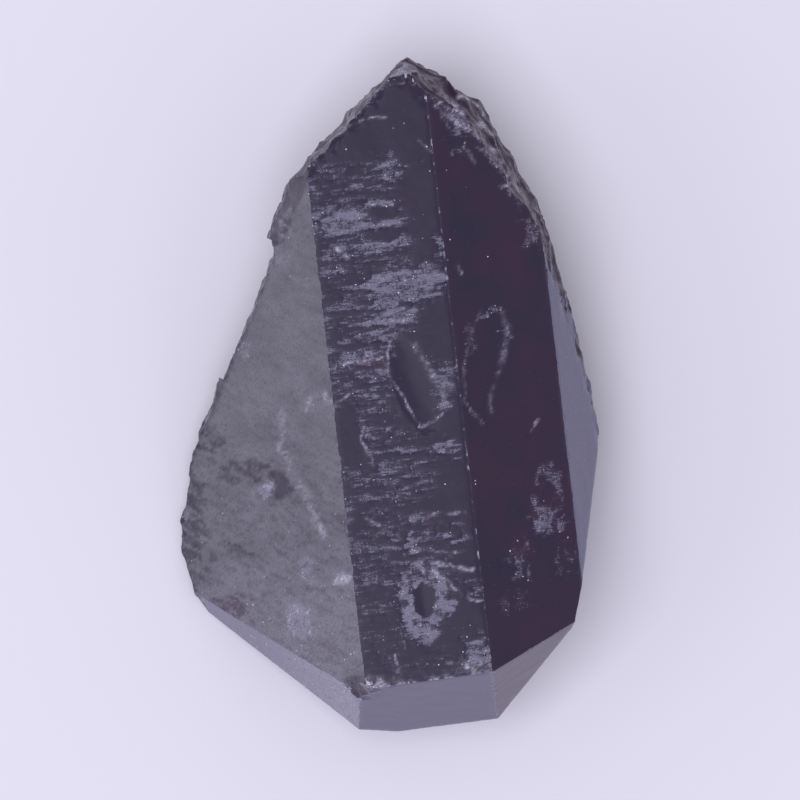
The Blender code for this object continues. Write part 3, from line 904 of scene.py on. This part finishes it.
class Graph:
    """Short ways to add nodes to a tree and join them."""

    def __init__(self, tree):
        self.tree = tree

    def add(self, kind, inputs=None, **values):
        node = self.tree.nodes.new(kind)
        for key, value in values.items():
            setattr(node, key, value)
        for key, value in (inputs or {}).items():
            self.put(node.inputs[key], value)
        return node

    def put(self, socket, value):
        if isinstance(value, bpy.types.NodeSocket):
            self.tree.links.new(value, socket)
        else:
            socket.default_value = value

    def math(self, operation, first, second=0.0, clamp=False):
        node = self.add("ShaderNodeMath", {0: first, 1: second}, operation=operation, use_clamp=clamp)
        return node.outputs[0]

    def times(self, first, second):
        return self.math("MULTIPLY", first, second)

    def plus(self, first, second):
        return self.math("ADD", first, second)

    def blend(self, factor, first, second):
        node = self.add("ShaderNodeMix", data_type="RGBA")
        self.put(node.inputs[0], factor)
        self.put(node.inputs[6], first)
        self.put(node.inputs[7], second)
        return node.outputs[2]

    def window(self, value, low, high):
        """0 below low and 1 above high, smooth between them."""
        node = self.add(
            "ShaderNodeMapRange",
            {"Value": value, "From Min": low, "From Max": high},
            interpolation_type="SMOOTHSTEP",
        )
        return node.outputs[0]

    def noise(self, where, stretch, detail=2.0, roughness=0.6):
        """Noise from 0 to 1 on coordinates stretched by three lengths in metres."""
        scale = [1.0 / length for length in stretch]
        scaled = self.add("ShaderNodeMapping", {"Vector": where, "Scale": scale})
        node = self.add(
            "ShaderNodeTexNoise",
            {"Vector": scaled.outputs[0], "Scale": 1.0, "Detail": detail, "Roughness": roughness},
        )
        return node.outputs["Fac"]

    def mark(self, name):
        return self.add("ShaderNodeAttribute", attribute_name=name).outputs["Fac"]


def node_group(name, inputs, outputs):
    """An empty shader node group. An input is a float with its default, or a vector with None."""
    group = bpy.data.node_groups.new(name, "ShaderNodeTree")
    for socket, default in inputs.items():
        kind = "NodeSocketVector" if default is None else "NodeSocketFloat"
        made = group.interface.new_socket(name=socket, in_out="INPUT", socket_type=kind)
        if default is not None:
            made.default_value = default
    for socket in outputs:
        group.interface.new_socket(name=socket, in_out="OUTPUT", socket_type="NodeSocketFloat")
    graph = Graph(group)
    return group, graph, graph.add("NodeGroupInput").outputs, graph.add("NodeGroupOutput").inputs


def frost_group():
    """Frost broken into dashes across the prism, short columns and grains."""
    group, graph, given, result = node_group(
        "growth_frost", {"Place": None, "Amount": 0.5, "Sharpness": 0.08}, ("Mask", "Height")
    )
    dashes = graph.noise(given["Place"], (0.0006, 0.00013, 0.0006), 2.0)
    columns = graph.noise(given["Place"], (0.00018, 0.0007, 0.0005), 2.0)
    grains = graph.noise(given["Place"], (0.00012, 0.00012, 0.00012), 1.0)
    cloud = graph.noise(given["Place"], (0.0009, 0.0006, 0.0009), 2.0)
    total = graph.times(dashes, 0.45)
    total = graph.plus(total, graph.times(columns, 0.25))
    total = graph.plus(total, graph.times(grains, 0.3))
    level = graph.math("SUBTRACT", 0.69, graph.times(given["Amount"], 0.3))
    low = graph.math("SUBTRACT", level, given["Sharpness"])
    high = graph.plus(level, given["Sharpness"])
    flecks = graph.window(total, low, high)
    haze = graph.times(given["Amount"], graph.window(cloud, 0.15, 0.75))
    haze = graph.times(haze, given["Amount"])
    mask = graph.plus(graph.times(flecks, 0.62), graph.times(haze, 0.42))
    shade = graph.plus(0.3, graph.times(total, 1.2))
    graph.put(result["Mask"], graph.math("MULTIPLY", mask, shade, clamp=True))
    graph.put(result["Height"], graph.times(total, mask))
    return group


def dust_group():
    """An even film of dust with darker specks where it is rubbed off."""
    group, graph, given, result = node_group(
        "dust_film", {"Place": None, "Amount": 0.5, "Specks": 0.3}, ("Mask",)
    )
    fine = graph.noise(given["Place"], (0.00022, 0.0002, 0.00022), 3.0)
    broad = graph.noise(given["Place"], (0.0014, 0.001, 0.0014), 2.0)
    specks = graph.math("SUBTRACT", 1.0, graph.window(fine, 0.3, 0.46))
    specks = graph.times(specks, given["Specks"])
    cover = graph.plus(0.78, graph.times(graph.math("SUBTRACT", fine, 0.5), 0.7))
    cover = graph.plus(cover, graph.times(broad, 0.3))
    cover = graph.math("SUBTRACT", cover, specks)
    graph.put(result["Mask"], graph.math("MULTIPLY", cover, given["Amount"], clamp=True))
    return group


def grain_group():
    """Height of the finest grain of a face."""
    group, graph, given, result = node_group("fine_grain", {"Place": None, "Amount": 1.0}, ("Height",))
    lines = graph.noise(given["Place"], (0.0012, 0.00011, 0.0012), 2.0)
    grain = graph.noise(given["Place"], (0.00009, 0.00009, 0.00009), 2.0)
    total = graph.plus(graph.times(lines, 0.5), graph.times(grain, 0.5))
    graph.put(result["Height"], graph.times(total, given["Amount"]))
    return group


def finish_material(name, settings, groups, body, gloss, speck, grain, bump, shine):
    """Dark quartz under dust, frost and bright marks: worn edges and lines, painted glints and painted
    light through thin edges.
    """
    material = bpy.data.materials.new(name)
    material.use_nodes = True
    graph = Graph(material.node_tree)
    shader = material.node_tree.nodes["Principled BSDF"]
    place = graph.add("ShaderNodeTexCoord").outputs["Object"]
    frost = graph.add("ShaderNodeGroup", node_tree=groups["frost"])
    dust = graph.add("ShaderNodeGroup", node_tree=groups["dust"])
    fine = graph.add("ShaderNodeGroup", node_tree=groups["grain"])
    for node in (frost, dust, fine):
        graph.put(node.inputs["Place"], place)
    graph.put(frost.inputs["Amount"], graph.mark("frost"))
    graph.put(dust.inputs["Amount"], graph.mark("dust"))
    graph.put(dust.inputs["Specks"], speck)
    graph.put(fine.inputs["Amount"], grain)
    cool, warm = ((*getattr(settings, colour), 1.0) for colour in body)
    colour = graph.blend(graph.mark("tint"), cool, warm)
    colour = graph.blend(dust.outputs["Mask"], colour, (*settings.dust_colour, 1.0))
    colour = graph.blend(frost.outputs["Mask"], colour, (*settings.frost_colour, 1.0))
    # The bright marks, wear as well as painted glints and painted light, are broken up by noise.
    worn = graph.window(graph.noise(place, (0.00035, 0.0002, 0.00035), 2.0), 0.3, 0.62)
    worn = graph.plus(0.3, graph.times(worn, 0.95))
    bright = graph.math("MULTIPLY", graph.mark("bright"), worn, clamp=True)
    colour = graph.blend(bright, colour, (*settings.worn_and_painted_light_colour, 1.0))
    graph.put(shader.inputs["Base Color"], colour)
    roughness = graph.plus(gloss, graph.times(dust.outputs["Mask"], 0.3))
    frosted = graph.times(frost.outputs["Mask"], 0.35)
    roughness = graph.math("ADD", roughness, frosted, clamp=True)
    graph.put(shader.inputs["Roughness"], roughness)
    height = graph.plus(fine.outputs["Height"], frost.outputs["Height"])
    relief = graph.add("ShaderNodeBump", {"Strength": 0.5, "Distance": bump, "Height": height})
    graph.put(shader.inputs["Normal"], relief.outputs[0])
    shader.inputs["IOR"].default_value = QUARTZ_IOR
    shader.inputs["Specular IOR Level"].default_value = shine
    return material


def white_material(settings):
    """Bright grains, duller in places."""
    material = bpy.data.materials.new("white_grain")
    material.use_nodes = True
    graph = Graph(material.node_tree)
    shader = material.node_tree.nodes["Principled BSDF"]
    place = graph.add("ShaderNodeTexCoord").outputs["Object"]
    spread = graph.noise(place, (0.0008, 0.0008, 0.0008), 1.0)
    dull, white = (*settings.frost_colour, 1.0), (*settings.grain_and_glint_colour, 1.0)
    colour = graph.blend(graph.window(spread, 0.35, 0.65), dull, white)
    graph.put(shader.inputs["Base Color"], colour)
    shader.inputs["Roughness"].default_value = 0.3
    shader.inputs["IOR"].default_value = QUARTZ_IOR
    return material


# Grains by Geometry Nodes


def grain_tree():
    """Scatters small angular grains on the crystal and on listed points."""
    tree = bpy.data.node_groups.new("surface_grains", "GeometryNodeTree")
    sockets = {
        "Places": "Geometry", "Crystal": "Object", "Grains per Area": "Float", "Smallest": "Float",
        "Largest": "Float", "Placed Size": "Float", "Seed": "Int", "Finish": "Material",
    }
    for name, kind in sockets.items():
        tree.interface.new_socket(name=name, in_out="INPUT", socket_type="NodeSocket" + kind)
    tree.interface.new_socket(name="Grains", in_out="OUTPUT", socket_type="NodeSocketGeometry")
    graph = Graph(tree)
    given = graph.add("NodeGroupInput").outputs
    result = graph.add("NodeGroupOutput").inputs
    stone = graph.add("GeometryNodeObjectInfo", {"Object": given["Crystal"]})
    frost = graph.add("GeometryNodeInputNamedAttribute", {"Name": "frost"}, data_type="FLOAT").outputs[0]
    bright = graph.add("GeometryNodeInputNamedAttribute", {"Name": "bright"}, data_type="FLOAT").outputs[0]
    frosted = graph.times(graph.math("POWER", frost, 3.0), 0.4)
    # Grains gather on the bright marks: worn edges and lines, and the painted glints.
    worn = graph.times(graph.math("POWER", bright, 1.6), 0.9)
    chance = graph.math("ADD", frosted, worn, clamp=True)
    density = graph.times(chance, given["Grains per Area"])
    spread = graph.add(
        "GeometryNodeDistributePointsOnFaces",
        {"Mesh": stone.outputs["Geometry"], "Density": density, "Seed": given["Seed"]},
    )
    grain = graph.add("GeometryNodeMeshIcoSphere", {"Radius": 1.0, "Subdivisions": 1}).outputs["Mesh"]
    spin = graph.add(
        "FunctionNodeRandomValue",
        {"Max": (6.28, 6.28, 6.28), "Seed": given["Seed"]},
        data_type="FLOAT_VECTOR",
    ).outputs[0]
    size = graph.add("FunctionNodeRandomValue", {"Seed": given["Seed"]}, data_type="FLOAT")
    graph.put(size.inputs[2], given["Smallest"])
    graph.put(size.inputs[3], given["Largest"])
    scattered = graph.add(
        "GeometryNodeInstanceOnPoints",
        {"Points": spread.outputs["Points"], "Instance": grain, "Rotation": spin, "Scale": size.outputs[1]},
    )
    points = graph.add("GeometryNodeMeshToPoints", {"Mesh": given["Places"]})
    squash = graph.add("ShaderNodeVectorMath", {0: (1.25, 0.9, 0.7)}, operation="SCALE")
    graph.put(squash.inputs["Scale"], given["Placed Size"])
    placed = graph.add(
        "GeometryNodeInstanceOnPoints",
        {"Points": points.outputs[0], "Instance": grain, "Rotation": spin, "Scale": squash.outputs[0]},
    )
    both = graph.add("GeometryNodeJoinGeometry")
    tree.links.new(scattered.outputs[0], both.inputs[0])
    tree.links.new(placed.outputs[0], both.inputs[0])
    real = graph.add("GeometryNodeRealizeInstances", {"Geometry": both.outputs[0]})
    finish = graph.add(
        "GeometryNodeSetMaterial", {"Geometry": real.outputs[0], "Material": given["Finish"]}
    )
    graph.put(result["Grains"], finish.outputs[0])
    return tree


# Settings


class CrystalSettings(bpy.types.PropertyGroup):
    """Sizes and colours of the crystal."""

    top_step: bpy.props.FloatProperty(
        name="Top Step", description="Spacing of the mesh on the large top face",
        default=0.00015, min=0.00005, unit="LENGTH", precision=5,
    )
    flank_step: bpy.props.FloatProperty(
        name="Flank Step", description="Spacing of the mesh on the other crystal faces",
        default=0.00023, min=0.0001, unit="LENGTH", precision=5,
    )
    break_step: bpy.props.FloatProperty(
        name="Break Step", description="Spacing of the mesh on the breaks",
        default=0.00034, min=0.0001, unit="LENGTH", precision=5,
    )
    hidden_step: bpy.props.FloatProperty(
        name="Underside Step", description="Spacing of the mesh on the underside",
        default=0.0005, min=0.0001, unit="LENGTH", precision=5,
    )
    line_depth: bpy.props.FloatProperty(
        name="Growth Line Depth", description="Depth of the growth lines across the prism",
        default=0.00003, min=0.0, unit="LENGTH", precision=5,
    )
    terrace_depth: bpy.props.FloatProperty(
        name="Terrace Depth", description="Depth of the etched steps in the frosted patches",
        default=0.00003, min=0.0, unit="LENGTH", precision=5,
    )
    chip_depth: bpy.props.FloatProperty(
        name="Chip Depth", description="Depth of the chips along the edges",
        default=0.00016, min=0.0, unit="LENGTH", precision=5,
    )
    flake_depth: bpy.props.FloatProperty(
        name="Flake Depth", description="Depth of the smallest flakes on the breaks",
        default=0.00012, min=0.0, unit="LENGTH", precision=5,
    )
    blue_black: bpy.props.FloatVectorProperty(
        name="Blue Black", description="Coolest colour of the dark quartz",
        default=(0.0115, 0.0105, 0.032), subtype="COLOR",
    )
    plum_black: bpy.props.FloatVectorProperty(
        name="Plum Black", description="Warmest colour of the dark quartz",
        default=(0.031, 0.0105, 0.034), subtype="COLOR",
    )
    # Its blue is partly a painted reflection of the lavender floor, which the steep faces mirror.
    lavender: bpy.props.FloatVectorProperty(
        name="Lavender", description="Cool colour of the smooth steep faces",
        default=(0.018, 0.015, 0.105), subtype="COLOR",
    )
    mauve: bpy.props.FloatVectorProperty(
        name="Mauve", description="Warm colour of the smooth steep faces",
        default=(0.041, 0.013, 0.054), subtype="COLOR",
    )
    dust_colour: bpy.props.FloatVectorProperty(
        name="Dust", description="Colour of the even dust on satin faces",
        default=(0.18, 0.181, 0.205), subtype="COLOR",
    )
    frost_colour: bpy.props.FloatVectorProperty(
        name="Frost", description="Colour of the frosted patches",
        default=(0.2, 0.19, 0.26), subtype="COLOR",
    )
    # Also the colour of the painted glints and of the painted light through thin edges.
    worn_and_painted_light_colour: bpy.props.FloatVectorProperty(
        name="Worn Edge", description="Colour of bruised edges and bright lines",
        default=(0.48, 0.46, 0.55), subtype="COLOR",
    )
    # Also the colour of the painted glints that are placed as grains.
    grain_and_glint_colour: bpy.props.FloatVectorProperty(
        name="White Grain", description="Colour of the brightest grains",
        default=(0.8, 0.79, 0.85), subtype="COLOR",
    )


class GrainSettings(bpy.types.PropertyGroup):
    """Sizes and number of the bright grains."""

    per_area: bpy.props.FloatProperty(
        name="Grains per Area", description="Most grains on a square metre of bright surface",
        default=2.2e7, min=0.0,
    )
    smallest: bpy.props.FloatProperty(
        name="Smallest", description="Radius of the smallest grain",
        default=0.00002, min=0.00001, unit="LENGTH", precision=6,
    )
    largest: bpy.props.FloatProperty(
        name="Largest", description="Radius of the largest scattered grain",
        default=0.00006, min=0.00001, unit="LENGTH", precision=6,
    )
    placed: bpy.props.FloatProperty(
        name="Placed", description="Radius of the grains that are placed by hand",
        default=0.00008, min=0.00001, unit="LENGTH", precision=6,
    )
    seed: bpy.props.IntProperty(name="Seed", description="Picks another scatter of grains", default=4)


class StudioSettings(bpy.types.PropertyGroup):
    """Floor, light and camera."""

    floor_colour: bpy.props.FloatVectorProperty(
        name="Floor", description="Colour of the pale floor",
        default=(0.84, 0.83, 0.86), subtype="COLOR",
    )
    sky_colour: bpy.props.FloatVectorProperty(
        name="Tent Light", description="Colour of the even light from all around",
        default=(0.86, 0.84, 0.98), subtype="COLOR",
    )
    sky_strength: bpy.props.FloatProperty(
        name="Tent Strength", description="Strength of the even light", default=0.56, min=0.0,
    )
    top_power: bpy.props.FloatProperty(
        name="Top Power", description="Power of the soft light over the crystal",
        default=11.9, min=0.0, unit="POWER",
    )
    key_power: bpy.props.FloatProperty(
        name="Key Power", description="Power of the soft light from the left",
        default=0.8, min=0.0, unit="POWER",
    )
    camera_distance: bpy.props.FloatProperty(
        name="Camera Distance", description="Height of the camera over the crystal",
        default=2.5, min=0.2, unit="LENGTH",
    )
    view_width: bpy.props.FloatProperty(
        name="View Width", description="Width of what the camera sees at the crystal",
        default=0.072, min=0.01, unit="LENGTH",
    )
    view_turn: bpy.props.FloatProperty(
        name="View Turn", description="How far the picture is turned over the crystal",
        default=math.radians(-6.5), subtype="ANGLE",
    )


# Operators


class CRYSTAL_OT_body(bpy.types.Operator):
    """Cuts and paints the crystal"""

    bl_idname = "crystal.body"
    bl_label = "Build Crystal"

    def execute(self, context):
        settings = context.scene.crystal_settings
        sides = crystal_sides(settings)
        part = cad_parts[NODE].data
        outline = np.array([vert.co for vert in part.vertices]) / MM - np.array(PART_SHIFT)
        crystal = clear_block(sides)
        for side in sides:
            take_away(crystal, side_cutter(side, outline, settings))
        mesh = crystal.data
        if len(mesh.polygons) < FEWEST_FACES:
            raise RuntimeError("a cut of the crystal failed and left too few faces")
        keep_largest(mesh)
        mesh.materials.clear()
        paint(mesh, sides)
        groups = {"frost": frost_group(), "dust": dust_group(), "grain": grain_group()}
        for name, values in FINISHES.items():
            mesh.materials.append(finish_material(name, settings, groups, *values))
        mesh.shade_smooth()
        mesh.set_sharp_from_angle(angle=math.radians(SHARP_ANGLE))
        mesh.transform(Matrix.Translation(Vector(PART_SHIFT) * MM))
        crystal.name = "crystal_body"
        mesh.name = "crystal_body"
        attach(crystal, BODY)
        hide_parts(NODE)
        return {"FINISHED"}


class CRYSTAL_OT_grains(bpy.types.Operator):
    """Scatters bright grains over frosted patches and bright marks, which include painted glints"""

    bl_idname = "crystal.grains"
    bl_label = "Scatter Grains"

    def execute(self, context):
        settings = context.scene.grain_settings
        crystal = bpy.data.objects.get("crystal_body")
        if crystal is None:
            raise RuntimeError("build the crystal before its grains")
        graph = context.evaluated_depsgraph_get()
        surface = bvhtree.BVHTree.FromObject(crystal, graph)
        places = []
        for x, y in BRIGHT_GRAINS_AND_GLINTS:
            above = Vector(((x + PART_SHIFT[0]) * MM, (y + PART_SHIFT[1]) * MM, GRAIN_DROP_HEIGHT))
            hit = surface.ray_cast(above, Vector((0.0, 0.0, -1.0)))[0]
            if hit is not None:
                places.append(hit[:])
        mesh = bpy.data.meshes.new("surface_grains")
        mesh.from_pydata(places, [], [])
        grains = place_object("surface_grains", mesh)
        tree = grain_tree()
        modifier = grains.modifiers.new("grains", "NODES")
        modifier.node_group = tree
        values = {
            "Crystal": crystal,
            "Grains per Area": settings.per_area,
            "Smallest": settings.smallest,
            "Largest": settings.largest,
            "Placed Size": settings.placed,
            "Seed": settings.seed,
            "Finish": white_material(context.scene.crystal_settings),
        }
        for item in tree.interface.items_tree:
            if item.name in values:
                modifier[item.identifier] = values[item.name]
        grains.update_tag()
        graph = context.evaluated_depsgraph_get()
        graph.update()
        made = bpy.data.meshes.new_from_object(grains.evaluated_get(graph))
        if len(made.polygons) == 0:
            raise RuntimeError("no grains were scattered")
        grains.modifiers.clear()
        grains.data = made
        made.name = "surface_grains"
        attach(grains, BODY)
        return {"FINISHED"}


class CRYSTAL_OT_studio(bpy.types.Operator):
    """Sets the pale floor, the soft light and the camera"""

    bl_idname = "crystal.studio"
    bl_label = "Set Studio"

    def execute(self, context):
        settings = context.scene.studio_settings
        scene = context.scene
        scene.view_settings.view_transform = "Standard"
        scene.view_settings.look = "None"
        mesh = bpy.data.meshes.new("floor")
        corners = [(x * FLOOR_HALF, y * FLOOR_HALF, 0) for x, y in ((-1, -1), (1, -1), (1, 1), (-1, 1))]
        mesh.from_pydata(corners, [], [(0, 1, 2, 3)])
        floor = place_object("floor", mesh)
        material = bpy.data.materials.new("floor_paper")
        material.use_nodes = True
        graph = Graph(material.node_tree)
        shader = material.node_tree.nodes["Principled BSDF"]
        place = graph.add("ShaderNodeTexCoord").outputs["Object"]
        cloud = graph.noise(place, (0.05, 0.05, 0.05), 2.0)
        shade = tuple(value * 0.98 for value in settings.floor_colour)
        colour = graph.blend(cloud, (*settings.floor_colour, 1.0), (*shade, 1.0))
        graph.put(shader.inputs["Base Color"], colour)
        shader.inputs["Roughness"].default_value = 0.95
        shader.inputs["Specular IOR Level"].default_value = 0.0
        mesh.materials.append(material)
        world = bpy.data.worlds.new("tent")
        world.use_nodes = True
        sky = world.node_tree.nodes["Background"]
        sky.inputs["Color"].default_value = (*settings.sky_colour, 1.0)
        sky.inputs["Strength"].default_value = settings.sky_strength
        scene.world = world
        add_light("top_light", TOP_LIGHT_PLACE, settings.top_power, settings.sky_colour)
        add_light("key_light", KEY_LIGHT_PLACE, settings.key_power, settings.sky_colour)
        add_camera(settings)
        return {"FINISHED"}


def add_light(name, place, power, colour):
    """A soft square light that points at the crystal and stays out of the picture."""
    data = bpy.data.lights.new(name, "AREA")
    data.size = LIGHT_SIZE
    data.energy = power
    data.color = colour
    light = bpy.data.objects.new(name, data)
    light.location = place
    light.rotation_euler = (-Vector(place)).to_track_quat("-Z", "Y").to_euler()
    light.visible_camera = False
    bpy.context.scene.collection.objects.link(light)


def add_camera(settings):
    """A long lens that looks straight down, as wide as the picture at half the crystal's height."""
    data = bpy.data.cameras.new("camera")
    data.sensor_width = 36.0
    data.lens = data.sensor_width * settings.camera_distance / settings.view_width
    data.clip_start = 0.05
    data.clip_end = 20.0
    camera = bpy.data.objects.new("camera", data)
    across, along = PICTURE_CENTRE
    middle = Vector((across * MM, along * MM, 0.5 * RIDGE_HEIGHT * MM + settings.camera_distance))
    camera.matrix_world = Matrix.Translation(middle) @ Matrix.Rotation(settings.view_turn, 4, "Z")
    bpy.context.scene.collection.objects.link(camera)
    bpy.context.scene.camera = camera


class CRYSTAL_PT_panel(bpy.types.Panel):
    """Lists the pieces of the crystal scene"""

    bl_idname = "CRYSTAL_PT_panel"
    bl_label = "Rough Crystal"
    bl_space_type = "VIEW_3D"
    bl_region_type = "UI"
    bl_category = "Crystal"

    def draw(self, context):
        scene = context.scene
        rows = (
            ("crystal.body", scene.crystal_settings),
            ("crystal.grains", scene.grain_settings),
            ("crystal.studio", scene.studio_settings),
        )
        for operator, settings in rows:
            box = self.layout.box()
            box.operator(operator)
            for name in settings.__annotations__:
                box.prop(settings, name)


CLASSES = (
    CrystalSettings,
    GrainSettings,
    StudioSettings,
    CRYSTAL_OT_body,
    CRYSTAL_OT_grains,
    CRYSTAL_OT_studio,
    CRYSTAL_PT_panel,
)


def register():
    for item in CLASSES:
        bpy.utils.register_class(item)
    bpy.types.Scene.crystal_settings = bpy.props.PointerProperty(type=CrystalSettings)
    bpy.types.Scene.grain_settings = bpy.props.PointerProperty(type=GrainSettings)
    bpy.types.Scene.studio_settings = bpy.props.PointerProperty(type=StudioSettings)


def unregister():
    del bpy.types.Scene.crystal_settings
    del bpy.types.Scene.grain_settings
    del bpy.types.Scene.studio_settings
    for item in reversed(CLASSES):
        bpy.utils.unregister_class(item)


def main():
    register()
    bpy.ops.crystal.body()
    bpy.ops.crystal.grains()
    bpy.ops.crystal.studio()


if __name__ == "__main__":
    main()
